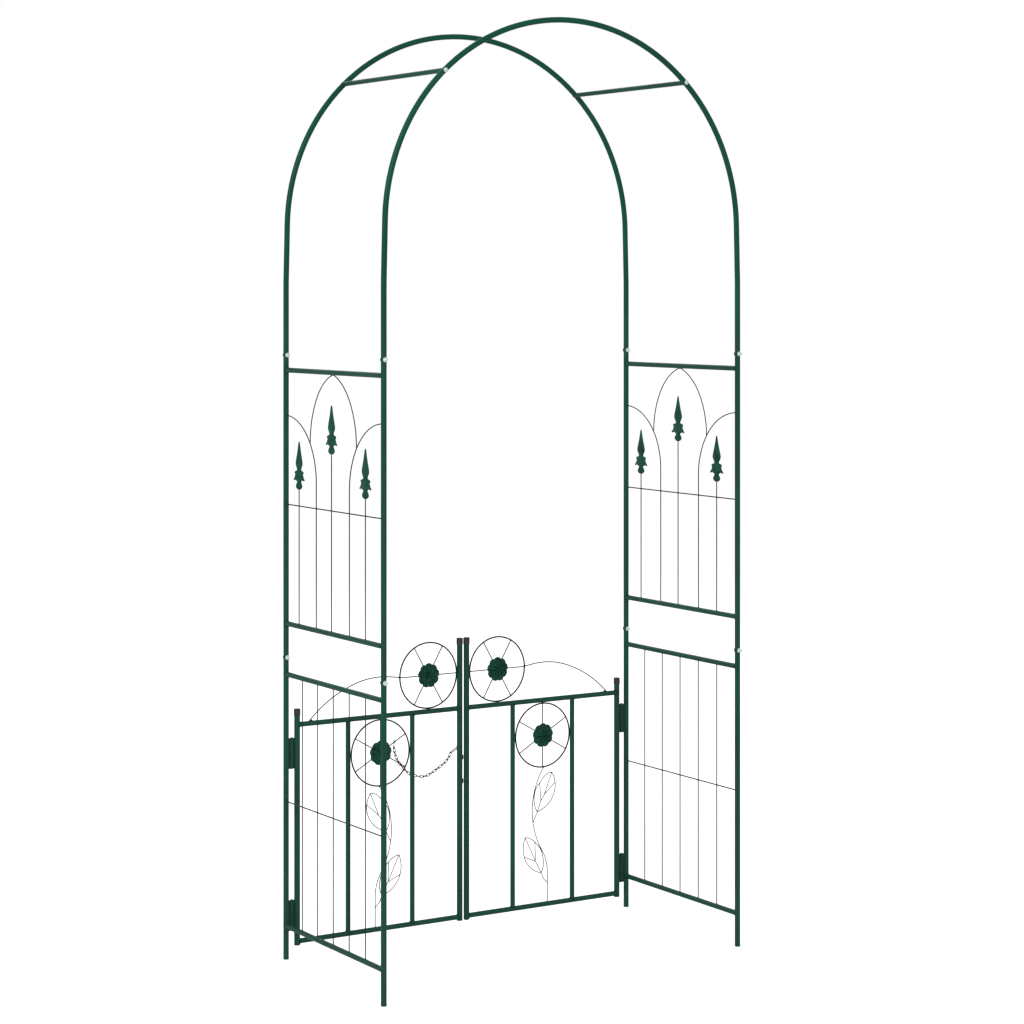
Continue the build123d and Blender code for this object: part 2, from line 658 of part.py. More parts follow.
# Latch chain
def link(start, end, wire, inner_width, reach_start, reach_end, flat_normal):
    # one stadium-shaped link; its end wires lie reach_start and reach_end beyond the two joints
    along = (end - start).normalized()
    first, last = start - along * reach_start, end + along * reach_end
    across = flat_normal.cross(along).normalized()
    end_radius = (inner_width + wire) / 2
    half = (last - first).length / 2 - end_radius
    centre = (first + last) * 0.5
    link_plane = Plane(centre, x_dir=along, z_dir=along.cross(across))
    with BuildLine(link_plane) as loop:
        Line((-half, end_radius), (half, end_radius))
        ThreePointArc((half, end_radius), (half + end_radius, 0), (half, -end_radius))
        Line((half, -end_radius), (-half, -end_radius))
        ThreePointArc((-half, -end_radius), (-half - end_radius, 0), (-half, end_radius))
    bent_bar(loop.wire(), wire)


route = Spline(*[Vector(*point) for point in chain_route])
link_count = 2 * round((route.length / nominal_pitch - 1) / 2) + 1
joints = [route.position_at(route.length * step / link_count, position_mode=PositionMode.LENGTH)
          for step in range(link_count + 1)]
flat, edge_on = Vector(0, 1, 0), Vector(0.35, 0, 1)
with BuildPart() as chain_links:
    link(Vector(*eye_centre), joints[0], long_link_wire, long_link_inner_width,
         (staple_wire + long_link_wire) / 2 + long_link_slack, long_link_wire / 2 + link_slack, edge_on)
    for index in range(link_count):
        along = (joints[index + 1] - joints[index]).normalized()
        normal = flat if index % 2 == 0 else flat.cross(along)
        link(joints[index], joints[index + 1], link_wire, link_inner_width,
             link_wire / 2 + link_slack, link_wire / 2 + link_slack, normal)
write(chain_links.part, "chain_links")

# Hook over the upper inner spoke of the left lower ring, with an eye for the last link
spoke_z = lower_ring[1] + (lower_ring[0] + hook_x) * math.tan(math.radians(30))
shank_y = post_y + hook_radius
with BuildLine(side_plane(hook_x)) as hook_path:
    Line((post_y - hook_radius, spoke_z - hook_tip_drop), (post_y - hook_radius, spoke_z))
    ThreePointArc((post_y - hook_radius, spoke_z), (post_y, spoke_z + hook_radius), (shank_y, spoke_z))
    Line((shank_y, spoke_z), (shank_y, hook_eye_z + hook_eye_radius))
with BuildPart() as chain_hook:
    bent_bar(hook_path.wire(), link_wire)
    with BuildSketch(Plane((hook_x, shank_y + hook_eye_radius, hook_eye_z), x_dir=(0, 1, 0),
                           z_dir=(0, 0, 1))) as section:
        Circle(link_wire / 2)
    revolve(section.sketch, axis=Axis((hook_x, shank_y, hook_eye_z), (1, 0, 0)))
write(chain_hook.part, "chain_hook")

print("links:", link_count, "pitch:", round(route.length / link_count, 2))
print("chain length:", round(route.length + (joints[0] - Vector(*eye_centre)).length, 1))
print("arc starts at x", round(arc_start_x, 2), "crossbar at", round(joint_x, 1), round(joint_z, 1))
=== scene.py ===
import json
import math
import random

import bpy
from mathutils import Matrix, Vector


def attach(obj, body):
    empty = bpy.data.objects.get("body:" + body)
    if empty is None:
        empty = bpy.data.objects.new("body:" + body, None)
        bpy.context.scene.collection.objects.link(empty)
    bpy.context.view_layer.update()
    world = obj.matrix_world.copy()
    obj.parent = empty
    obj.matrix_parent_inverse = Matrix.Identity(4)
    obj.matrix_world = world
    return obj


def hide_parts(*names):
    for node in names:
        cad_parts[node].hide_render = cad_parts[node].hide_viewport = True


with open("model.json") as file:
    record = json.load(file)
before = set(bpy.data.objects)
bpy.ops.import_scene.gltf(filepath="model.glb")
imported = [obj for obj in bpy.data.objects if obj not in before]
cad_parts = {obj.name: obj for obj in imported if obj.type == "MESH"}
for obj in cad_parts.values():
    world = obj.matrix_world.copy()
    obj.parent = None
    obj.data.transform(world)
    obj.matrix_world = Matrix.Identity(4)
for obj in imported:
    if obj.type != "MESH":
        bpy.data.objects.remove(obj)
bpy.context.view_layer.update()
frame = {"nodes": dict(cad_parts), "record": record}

nodes = frame["nodes"]
print("frame loaded:", len(nodes), "nodes")

mm = 0.001
sides = {"left": -1, "right": 1}
rows = {"front": -1, "rear": 1}

# the camera stands low on the front left, level, with the picture shifted down to the feet
cameraLook = {"place": (-3.4811, -5.5337, 1.6813), "yaw": 32.129, "lens": 90.6, "sensor": 36.0,
              "shiftY": -0.2171}

cameraData = bpy.data.cameras.new("camera")
cameraData.lens = cameraLook["lens"]
cameraData.sensor_width = cameraLook["sensor"]
cameraData.shift_y = cameraLook["shiftY"]
cameraData.clip_end = 200
camera = bpy.data.objects.new("camera", cameraData)
camera.location = cameraLook["place"]
camera.rotation_euler = (math.radians(90), 0, -math.radians(cameraLook["yaw"]))
bpy.context.scene.collection.objects.link(camera)
bpy.context.scene.camera = camera


# shader building blocks

def newGroup(name, inputs, outputs):
    group = bpy.data.node_groups.new(name, "ShaderNodeTree")
    kinds = {"float": "NodeSocketFloat", "color": "NodeSocketColor", "vector": "NodeSocketVector"}
    for label, kind, value in inputs:
        socket = group.interface.new_socket(name=label, in_out="INPUT", socket_type=kinds[kind])
        socket.default_value = value
    for label, kind in outputs:
        group.interface.new_socket(name=label, in_out="OUTPUT", socket_type=kinds[kind])
    return group, group.nodes.new("NodeGroupInput"), group.nodes.new("NodeGroupOutput")


def addNode(tree, kind, settings=None, **inputs):
    # inputs are given by socket name with underscores for spaces; a socket is linked and anything else is set
    node = tree.nodes.new(kind)
    for key, value in (settings or {}).items():
        setattr(node, key, value)
    for label, value in inputs.items():
        numbered = label[0] == "i" and label[1:].isdigit()
        socket = node.inputs[int(label[1:]) if numbered else label.replace("_", " ")]
        if isinstance(value, bpy.types.NodeSocket):
            tree.links.new(value, socket)
        else:
            socket.default_value = value
    return node


def mathNode(tree, operation, first, second=0.0, clamp=False):
    return addNode(tree, "ShaderNodeMath", {"operation": operation, "use_clamp": clamp}, i0=first,
                   i1=second).outputs[0]


def mixColor(tree, amount, first, second, blend="MIX"):
    node = tree.nodes.new("ShaderNodeMix")
    node.data_type = "RGBA"
    node.blend_type = blend
    for index, value in ((0, amount), (6, first), (7, second)):
        if isinstance(value, bpy.types.NodeSocket):
            tree.links.new(value, node.inputs[index])
        else:
            node.inputs[index].default_value = value
    return node.outputs[2]


def ramp(tree, value, low, high, lowOut=0.0, highOut=1.0):
    node = addNode(tree, "ShaderNodeMapRange", {"clamp": True}, Value=value)
    node.inputs["From Min"].default_value = low
    node.inputs["From Max"].default_value = high
    node.inputs["To Min"].default_value = lowOut
    node.inputs["To Max"].default_value = highOut
    return node.outputs[0]


def noise(tree, place, scale, detail=3.0, rough=0.55):
    return addNode(tree, "ShaderNodeTexNoise", Vector=place, Scale=scale, Detail=detail,
                   Roughness=rough).outputs[0]


def buildToneGroup():
    # slow drift of colour over a coated surface, as from uneven film thickness
    group, inside, outside = newGroup("tone drift", (
        ("Base", "color", (0.02, 0.08, 0.05, 1)), ("Shade", "color", (0.01, 0.05, 0.03, 1)),
        ("Scale", "float", 6.0)), (("Color", "color"), ("Mask", "float")))
    place = addNode(group, "ShaderNodeTexCoord").outputs["Object"]
    wide = noise(group, place, inside.outputs["Scale"], 4.0)
    mask = ramp(group, wide, 0.36, 0.66)
    group.links.new(mixColor(group, mask, inside.outputs["Base"], inside.outputs["Shade"]),
                    outside.inputs["Color"])
    group.links.new(mask, outside.inputs["Mask"])
    return group


def buildGrainGroup():
    # fine surface relief: orange peel on paint, pits on a casting, mould texture on plastic
    group, inside, outside = newGroup("surface grain", (
        ("Scale", "float", 700.0), ("Height", "float", 0.2), ("Reach", "float", 0.0004)),
        (("Normal", "vector"), ("Grain", "float")))
    place = addNode(group, "ShaderNodeTexCoord").outputs["Object"]
    fine = noise(group, place, inside.outputs["Scale"], 3.0, 0.5)
    bump = addNode(group, "ShaderNodeBump", Strength=inside.outputs["Height"],
                   Distance=inside.outputs["Reach"], Height=fine)
    group.links.new(bump.outputs[0], outside.inputs["Normal"])
    group.links.new(fine, outside.inputs["Grain"])
    return group


def buildDustGroup():
    # pale dust that settles on faces that look up
    group, inside, outside = newGroup("settled dust", (
        ("Color", "color", (0.02, 0.08, 0.05, 1)), ("Dust", "color", (0.42, 0.42, 0.38, 1)),
        ("Amount", "float", 0.2)), (("Color", "color"), ("Mask", "float")))
    coordinates = addNode(group, "ShaderNodeTexCoord")
    up = addNode(group, "ShaderNodeSeparateXYZ", Vector=coordinates.outputs["Normal"]).outputs[2]
    patchy = ramp(group, noise(group, coordinates.outputs["Object"], 38.0, 5.0, 0.62), 0.4, 0.68)
    facing = ramp(group, up, 0.25, 0.95)
    mask = mathNode(group, "MULTIPLY", mathNode(group, "MULTIPLY", facing, patchy),
                    inside.outputs["Amount"], True)
    group.links.new(mixColor(group, mask, inside.outputs["Color"], inside.outputs["Dust"]),
                    outside.inputs["Color"])
    group.links.new(mask, outside.inputs["Mask"])
    return group


def buildWearGroup():
    # rubbed corners and small chips where the coat has gone
    group, inside, outside = newGroup("edge wear", (
        ("Color", "color", (0.02, 0.08, 0.05, 1)), ("Bare", "color", (0.16, 0.17, 0.16, 1)),
        ("Edges", "float", 0.5), ("Chips", "float", 0.2)), (("Color", "color"), ("Mask", "float")))
    place = addNode(group, "ShaderNodeTexCoord").outputs["Object"]
    pointy = addNode(group, "ShaderNodeNewGeometry").outputs["Pointiness"]
    ragged = noise(group, place, 320.0, 4.0, 0.6)
    edge = ramp(group, mathNode(group, "ADD", pointy, mathNode(group, "MULTIPLY", ragged, 0.08)), 0.585, 0.64)
    edge = mathNode(group, "MULTIPLY", edge, inside.outputs["Edges"])
    spots = ramp(group, noise(group, place, 95.0, 2.0, 0.4), 0.735, 0.75)
    spots = mathNode(group, "MULTIPLY", spots, inside.outputs["Chips"])
    mask = mathNode(group, "MAXIMUM", edge, spots, True)
    group.links.new(mixColor(group, mask, inside.outputs["Color"], inside.outputs["Bare"]),
                    outside.inputs["Color"])
    group.links.new(mask, outside.inputs["Mask"])
    return group


toneGroup = buildToneGroup()
grainGroup = buildGrainGroup()
dustGroup = buildDustGroup()
wearGroup = buildWearGroup()


def useGroup(tree, group, **inputs):
    node = addNode(tree, "ShaderNodeGroup", {"node_tree": group})
    for label, value in inputs.items():
        if isinstance(value, bpy.types.NodeSocket):
            tree.links.new(value, node.inputs[label])
        else:
            node.inputs[label].default_value = value
    return node.outputs


def coatedMaterial(name, look):
    # tone drift, then wear, then dust, over fine grain
    material = bpy.data.materials.new(name)
    material.use_nodes = True
    tree = material.node_tree
    shader = tree.nodes["Principled BSDF"]
    tone = useGroup(tree, toneGroup, Base=(*look["base"], 1), Shade=(*look["shade"], 1), Scale=look["drift"])
    worn = useGroup(tree, wearGroup, Color=tone["Color"], Bare=(*look["bare"], 1), Edges=look["edges"],
                    Chips=look["chips"])
    dusty = useGroup(tree, dustGroup, Color=worn["Color"], Dust=(*look["dust"], 1), Amount=look["dustAmount"])
    grain = useGroup(tree, grainGroup, Scale=look["grainScale"], Height=look["grainHeight"],
                     Reach=look["grainReach"])
    rough = ramp(tree, grain["Grain"], 0.3, 0.7, look["rough"] - look["roughSpread"],
                 look["rough"] + look["roughSpread"])
    rough = mathNode(tree, "ADD", rough, mathNode(tree, "MULTIPLY", dusty["Mask"], 0.35), True)
    tree.links.new(dusty["Color"], shader.inputs["Base Color"])
    tree.links.new(rough, shader.inputs["Roughness"])
    tree.links.new(grain["Normal"], shader.inputs["Normal"])
    if look.get("metal"):
        tree.links.new(mathNode(tree, "SUBTRACT", look["metal"], mathNode(tree, "MULTIPLY", tone["Mask"],
                                                                          0.1), True),
                       shader.inputs["Metallic"])
    shader.inputs["Coat Weight"].default_value = look.get("coat", 0.0)
    shader.inputs["Coat Roughness"].default_value = look.get("coatRough", 0.3)
    shader.inputs["Specular IOR Level"].default_value = look.get("specular", 0.5)
    return material


powderCoat = {"base": (0.004, 0.083, 0.045), "shade": (0.0028, 0.062, 0.034), "bare": (0.03, 0.05, 0.04),
              "dust": (0.1, 0.17, 0.13), "drift": 7.0, "edges": 0.25, "chips": 0.18, "dustAmount": 0.1,
              "grainScale": 850.0, "grainHeight": 0.22, "grainReach": 0.0004, "rough": 0.4,
              "roughSpread": 0.06,
              "coat": 0.03, "coatRough": 0.25, "specular": 0.11}
finishes = {
    "green_tube": coatedMaterial("greenTubeCoat", powderCoat),
    # the wire coat is the tube paint made much darker: painted shade standing in for the dark look of thin
    # wires; the welds wear this coat too
    "green_wire": coatedMaterial("greenWireShadedCoat", {**powderCoat, "base": (0.004, 0.022, 0.014),
                                                   "shade": (0.003, 0.014, 0.009),
                                                   "drift": 18.0, "grainScale": 1400.0, "grainHeight": 0.14}),
    "green_hinge": coatedMaterial("greenHingeCoat", {**powderCoat, "base": (0.006, 0.078, 0.043),
                                                     "shade": (0.004, 0.058, 0.032),
                                                     "edges": 0.5, "chips": 0.4}),
    "cast_finial": coatedMaterial("castFinialCoat", {**powderCoat, "base": (0.010, 0.085, 0.052),
                                                     "shade": (0.005, 0.045, 0.028),
                                                     "drift": 40.0, "grainScale": 420.0,
                                                     "grainHeight": 0.45, "grainReach": 0.0007,
                                                     "rough": 0.46, "edges": 0.35}),
    "rosette": coatedMaterial("rosetteCoat", {**powderCoat, "base": (0.006, 0.078, 0.046),
                                              "shade": (0.002, 0.03, 0.018),
                                              "drift": 60.0, "grainScale": 480.0, "grainHeight": 0.35,
                                              "grainReach": 0.0006,
                                              "rough": 0.38, "edges": 0.45}),
    "dark_bolt": coatedMaterial("darkBoltSteel", {**powderCoat, "base": (0.012, 0.02, 0.017),
                                                  "shade": (0.006, 0.010, 0.009),
                                                  "bare": (0.2, 0.2, 0.2), "drift": 90.0, "rough": 0.35,
                                                  "metal": 0.35,
                                                  "grainScale": 1500.0, "grainHeight": 0.12}),
    "zinc_nut": coatedMaterial("zincNutPlate", {**powderCoat, "base": (0.72, 0.84, 0.79),
                                                "shade": (0.56, 0.68, 0.63),
                                                "bare": (0.35, 0.38, 0.37), "dust": (0.6, 0.6, 0.56),
                                                "drift": 140.0,
                                                "rough": 0.3, "metal": 0.35, "coat": 0.0, "specular": 0.5,
                                                "grainScale": 1300.0, "grainHeight": 0.1}),
    "insert_steel": coatedMaterial("insertSteel", {**powderCoat, "base": (0.3, 0.31, 0.3),
                                                   "shade": (0.2, 0.21, 0.2), "drift": 120.0,
                                                   "bare": (0.4, 0.4, 0.4), "rough": 0.42, "metal": 0.9,
                                                   "coat": 0.0}),
    "stile_cap": coatedMaterial("stileCapPlastic", {**powderCoat, "base": (0.034, 0.036, 0.036),
                                                    "shade": (0.024, 0.027, 0.026),
                                                    "bare": (0.09, 0.09, 0.09), "dust": (0.25, 0.25, 0.24),
                                                    "drift": 50.0,
                                                    "rough": 0.55, "coat": 0.0, "grainScale": 1100.0,
                                                    "grainHeight": 0.3, "chips": 0.0}),
    "chain": coatedMaterial("chainCoat", {**powderCoat, "base": (0.012, 0.024, 0.019), "shade": (0.007,
                                                                                                 0.014,
                                                                                                 0.011),
                                          "bare": (0.22, 0.23, 0.22), "drift": 160.0, "edges": 0.7,
                                          "chips": 0.5, "rough": 0.36,
                                          "metal": 0.3, "grainScale": 1600.0, "grainHeight": 0.2}),
}
for part in frame["record"]["subparts"]:
    mesh = nodes[part["node"]].data
    mesh.materials.clear()
    mesh.materials.append(finishes[part["material_slot"]])
print("finishes on the metal parts")


# mesh building blocks

def addPiece(name, verts, faces, body, slotName):
    mesh = bpy.data.meshes.new(name)
    mesh.from_pydata([Vector(v) * mm for v in verts], [], faces)
    mesh.validate()
    mesh.polygons.foreach_set("use_smooth", [True] * len(mesh.polygons))
    mesh.materials.append(finishes[slotName])
    piece = bpy.data.objects.new(name, mesh)
    bpy.context.scene.collection.objects.link(piece)
    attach(piece, body)
    return piece


def addSubdivision(piece, levels):
    modifier = piece.modifiers.new("soft", "SUBSURF")
    modifier.levels = levels
    modifier.render_levels = levels


def closedRings(rings, verts, faces):
    # skins a stack of equally divided rings and closes both ends
    first = len(verts)
    count = len(rings[0])
    for ring in rings:
        verts.extend(ring)
    for row in range(len(rings) - 1):
        for step in range(count):
            a = first + row * count + step
            b = first + row * count + (step + 1) % count
            faces.append((a, b, b + count, a + count))
    faces.append(tuple(first + step for step in reversed(range(count))))
    faces.append(tuple(first + (len(rings) - 1) * count + step for step in range(count)))


def closedTube(sections, verts, faces):
    # joins cross-sections of a closed loop, each given as a list of points
    first = len(verts)
    count = len(sections[0])
    for section in sections:
        verts.extend(section)
    for row in range(len(sections)):
        following = (row + 1) % len(sections)
        for step in range(count):
            ahead = (step + 1) % count
            faces.append((first + row * count + step, first + following * count + step,
                          first + following * count + ahead, first + row * count + ahead))


# cast spear points: leaf blade with a middle rib, a collar of drooping leaves and a bud
spearLook = {
    "x": 518.75,
    # distance below the tip, half width, half thickness, sharpness of the edges
    "blade": ((0.3, 0.7, 0.6, 1.0), (4, 2.0, 1.3, 1.2), (12, 4.0, 2.2, 1.35), (24, 7.6, 3.1, 1.45), (36,
                                                                                                     11.6,
                                                                                                     3.9,
                                                                                                     1.5),
              (46, 15.4, 4.4, 1.5), (53, 17.6, 4.6, 1.45), (58, 17.5, 4.6, 1.35), (62, 14.8, 4.5, 1.25),
              (66, 11.0, 4.5, 1.1),
              (69, 8.6, 4.6, 1.0), (72, 8.2, 4.8, 1.0), (75, 10.5, 5.2, 1.0)),
    "collar": ((72, 8.6, 4.6, 1.0), (73.6, 15.0, 5.4, 1.0), (75.4, 21.0, 5.8, 1.0), (78, 23.0, 6.0, 1.0),
               (80.4, 21.4, 5.6, 1.0),
               (82.4, 18.6, 5.2, 1.0), (84.6, 19.6, 5.6, 1.0), (87.4, 21.8, 6.0, 1.0), (90.6, 22.6, 6.0,
                                                                                        1.0), (93.6, 22.0,
                                                                                               5.8, 1.0),
               (96, 19.4, 5.4, 1.0), (98, 13.6, 5.0, 1.0), (100, 8.4, 4.4, 1.0), (102.5, 6.6, 4.0, 1.0)),
    "bud": ((99, 6.8, 4.2, 1.0), (102, 7.4, 4.4, 1.0), (105, 10.4, 5.2, 1.0), (108.5, 13.2, 5.8, 1.0),
            (112, 14.2, 6.0, 1.0),
            (115, 13.4, 5.8, 1.0), (117.5, 10.4, 5.0, 1.0), (119.5, 6.0, 3.6, 1.0), (120.8, 2.2, 2.0, 1.0)),
    "around": 24,
    # the drooping leaf: distance out, distance below the tip, half height, half thickness
    "leaf": ((13, 88.5, 3.6, 3.2), (17, 90.6, 3.8, 3.2), (20.6, 93.0, 3.5, 2.9), (23.8, 95.0, 3.0, 2.5),
             (26.4, 96.4, 2.5, 2.0),
             (28.6, 96.6, 1.3, 1.1)),
    "rib": 0.9,
    # where each point stands in its panel, and how high its tip is
    "tips": ((9.0, 1400.5), (-161.5, 1304.0), (179.5, 1304.0)),
}


def spearRing(x, y, tip, drop, halfWidth, halfThickness, sharp, rib=0.0):
    ring = []
    for step in range(spearLook["around"]):
        angle = 2 * math.pi * step / spearLook["around"]
        across, through = math.cos(angle), math.sin(angle)
        ridge = 0
        if abs(through) > 0.2:
            ridge = math.copysign(rib * math.exp(-(across * halfWidth / 2.2) ** 2), through)
        ring.append((x + math.copysign(abs(through) ** sharp, through) * halfThickness + ridge,
                     y + math.copysign(abs(across) ** (1 / sharp if sharp > 1 else 1), across) * halfWidth,
                     tip - drop))
    return ring


def leafRing(x, y, tip, side, nextOut, entry):
    distance, drop, halfHeight, halfThickness = entry
    slope = math.atan2(nextOut[1] - drop, nextOut[0] - distance)
    ring = []
    for step in range(12):
        angle = 2 * math.pi * step / 12
        up, through = math.cos(angle) * halfHeight, math.sin(angle) * halfThickness
        ring.append((x + through, y + side * (distance + up * math.sin(slope)),
                     tip - drop + up * math.cos(slope)))
    return ring


for side, sx in sides.items():
    x = sx * spearLook["x"]
    verts, faces = [], []
    for y, tip in spearLook["tips"]:
        for section, rib in (("blade", spearLook["rib"]), ("collar", 0.5), ("bud", 0.0)):
            rings = [spearRing(x, y, tip, *entry, rib) for entry in spearLook[section]]
            closedRings(rings, verts, faces)
        for direction in (-1, 1):
            leaf = spearLook["leaf"]
            rings = []
            for index, entry in enumerate(leaf):
                here = leaf[min(index, len(leaf) - 2)]
                ahead = leaf[min(index + 1, len(leaf) - 1)]
                aheadPoint = (entry[0] + ahead[0] - here[0], entry[1] + ahead[1] - here[1])
                rings.append(leafRing(x, y, tip, direction, aheadPoint, entry))
            closedRings(rings, verts, faces)
    piece = addPiece(f"castSpears_{side}", verts, faces, "root", "cast_finial")
    addSubdivision(piece, 1)
    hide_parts(f"spear_finials_{side}")
print("spear points")

# flower bosses: a scalloped ring of petals, a smaller ring inside and a button
rosetteLook = {
    "petals": 9, "outerRadius": 32.0, "scallop": 3.6, "innerPetals": 9, "innerRadius": 17.5,
    "innerScallop": 1.6,
    "button": 6.4, "height": 8.4, "back": 249.1, "rounds": 30, "around": 144,
    "centres": {"upper": (105.2, 679.7), "lower": (247.7, 492.2)},
}


def rosetteHeight(distance, angle):
    look = rosetteLook
    petal = abs(math.cos(angle * look["petals"] / 2))
    inner = abs(math.cos((angle + math.pi / look["innerPetals"]) * look["innerPetals"] / 2))
    edge = look["outerRadius"] - look["scallop"] * (1 - petal ** 0.55)
    height = 0.9
    if distance < edge:
        along = distance / edge
        dome = math.sin(math.pi * min(1, max(0, (1 - along) * 2.6)) * 0.5) ** 0.7
        groove = 1 - math.exp(-((1 - petal) - 1) ** 2 * 11)
        cup = 1 - 0.45 * math.exp(-((along - 0.66) / 0.13) ** 2) * groove
        height += 5.4 * dome * (0.2 + 0.8 * groove) * cup + 0.8 * math.exp(-((petal - 1) / 0.035) ** 2) * dome
    innerEdge = look["innerRadius"] - look["innerScallop"] * (1 - inner ** 0.6)
    if distance < innerEdge:
        along = distance / innerEdge
        lip = math.sin(math.pi * min(1, (1 - along) * 2.2) * 0.5) ** 0.7
        height += 1.9 * lip * (0.55 + 0.45 * (1 - math.exp(-((1 - inner) - 1) ** 2 * 14)))
        height -= 1.5 * math.exp(-((distance - look["button"] - 1.6) / 1.9) ** 2)
    if distance < look["button"]:
        height += 2.0 * math.sqrt(max(0, 1 - (distance / look["button"]) ** 2))
    return min(height, look["height"]), edge


def addRosette(verts, faces, centreX, centreZ):
    look = rosetteLook
    rings = []
    first = len(verts)
    for row in range(look["rounds"] + 1):
        share = (row + 0.35) / (look["rounds"] + 0.35)
        ring = []
        for step in range(look["around"]):
            angle = 2 * math.pi * step / look["around"]
            edge = rosetteHeight(0, angle)[1]
            distance = share * edge
            height = rosetteHeight(distance * 0.9999, angle)[0] if row < look["rounds"] else 0.9
            ring.append((centreX + distance * math.sin(angle), look["back"] - height,
                         centreZ + distance * math.cos(angle)))
        rings.append(ring)
    last = [(px, look["back"], pz) for px, _, pz in rings[-1]]
    closedRings(rings + [last], verts, faces)


for side, sx in sides.items():
    verts, faces = [], []
    for centreX, centreZ in rosetteLook["centres"].values():
        addRosette(verts, faces, sx * centreX, centreZ)
    piece = addPiece(f"flowerBosses_{side}", verts, faces, f"{side}_leaf", "rosette")
    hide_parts(f"rosettes_{side}")
print("flower bosses")

# welds: a rippled bead round each joint of two tubes or wires
weldLook = {"sections": 8, "ripple": 0.16, "stepLength": 1.3, "wobble": 0.1, "seed": 5}
dice = random.Random(weldLook["seed"])


def weldBead(verts, faces, centre, outward, bigAxis, smallRadius, bigRadius, bead):
    # centre is where the two axes cross; outward points along the smaller bar, away from the bigger one
    centre, a, b = Vector(centre), Vector(outward).normalized(), Vector(bigAxis).normalized()
    side = a.cross(b)
    steps = max(10, int(2 * math.pi * smallRadius / weldLook["stepLength"] * 2))
    start = dice.random() * 6
    sections = []
    for step in range(steps):
        angle = 2 * math.pi * step / steps
        off = smallRadius * math.sin(angle)
        depth = math.sqrt(max(bigRadius ** 2 - off ** 2, 0.01))
        radial = b * math.cos(angle) + side * math.sin(angle)
        spot = centre + a * depth + radial * smallRadius
        ripple = weldLook["ripple"] * (step % 2 * 2 - 1)
        size = bead * (1 + ripple + weldLook["wobble"] * math.sin(3 * angle + start))
        section = []
        for turn in range(weldLook["sections"]):
            phi = 2 * math.pi * turn / weldLook["sections"]
            section.append(spot + (radial * math.cos(phi) + a * math.sin(phi)) * size)
        sections.append(section)
    closedTube(sections, verts, faces)


def weldBlob(verts, faces, centre, size, stretch=(1, 1, 1)):
    # a small rounded lump of weld with an uneven skin
    rings = []
    for row in range(1, 8):
        tilt = math.pi * row / 8
        ring = []
        for step in range(12):
            angle = 2 * math.pi * step / 12
            reach = size * (1 + dice.uniform(-0.07, 0.07))
            ring.append((centre[0] + reach * stretch[0] * math.sin(tilt) * math.cos(angle),
                         centre[1] + reach * stretch[1] * math.sin(tilt) * math.sin(angle),
                         centre[2] - reach * stretch[2] * math.cos(tilt)))
        rings.append(ring)
    closedRings(rings, verts, faces)


panelWelds = {
    "postX": 518.75, "postY": 250.5, "postRadius": 7.0, "railRadius": 6.5, "wireRadius": 1.4,
    "crossRadius": 1.6,
    "railLevels": (83.8, 716.0, 843.4, 1479.7), "tubeBead": 1.15, "wireBead": 0.75,
    "lowerRods": (-162.0, -81.0, 0.0, 81.0, 162.0), "upperRods": (-161.5, -82.0, 9.0, 88.0, 179.5),
    "lowerCross": 397.7, "upperCross": 1143.4, "crossOut": 2.9, "scrollTop": 1366.0, "archTop": 1479.7,
}
for side, sx in sides.items():
    look = panelWelds
    x = sx * look["postX"]
    verts, faces = [], []
    for sy in rows.values():
        for z in look["railLevels"]:
            weldBead(verts, faces, (x, sy * look["postY"], z), (0, -sy, 0), (0, 0, 1), look["railRadius"],
                     look["postRadius"],
                     look["tubeBead"])
        weldBead(verts, faces, (x, sy * look["postY"], look["scrollTop"]), (0, -sy, 0), (0, 0, 1),
                 look["wireRadius"],
                 look["postRadius"], look["wireBead"])
        for z in (look["lowerCross"], look["upperCross"]):
            weldBlob(verts, faces, (x + sx * look["crossOut"], sy * (look["postY"] - 6.8), z), 2.0, (0.9,
                                                                                                     1.1,
                                                                                                     1.0))
        weldBlob(verts, faces, (x, 2.0 + sy * 2.2, look["archTop"] - look["railRadius"]), 1.9, (0.8, 1.2,
                                                                                                0.8))
    for rods, levels, cross in ((look["lowerRods"], (83.8, 716.0), look["lowerCross"]),
                                (look["upperRods"], (843.4,), look["upperCross"])):
        for y in rods:
            for z in levels:
                up = 1 if z < cross else -1
                weldBead(verts, faces, (x, y, z), (0, 0, up), (0, 1, 0), look["wireRadius"],
                         look["railRadius"], look["wireBead"])
            weldBlob(verts, faces, (x + sx * 1.5, y, cross), 1.75, (0.8, 1.15, 1.15))
    # these welds take the darker wire coat, with its painted shade
    addPiece(f"panelWelds_{side}", verts, faces, "root", "green_wire")
print("panel welds")

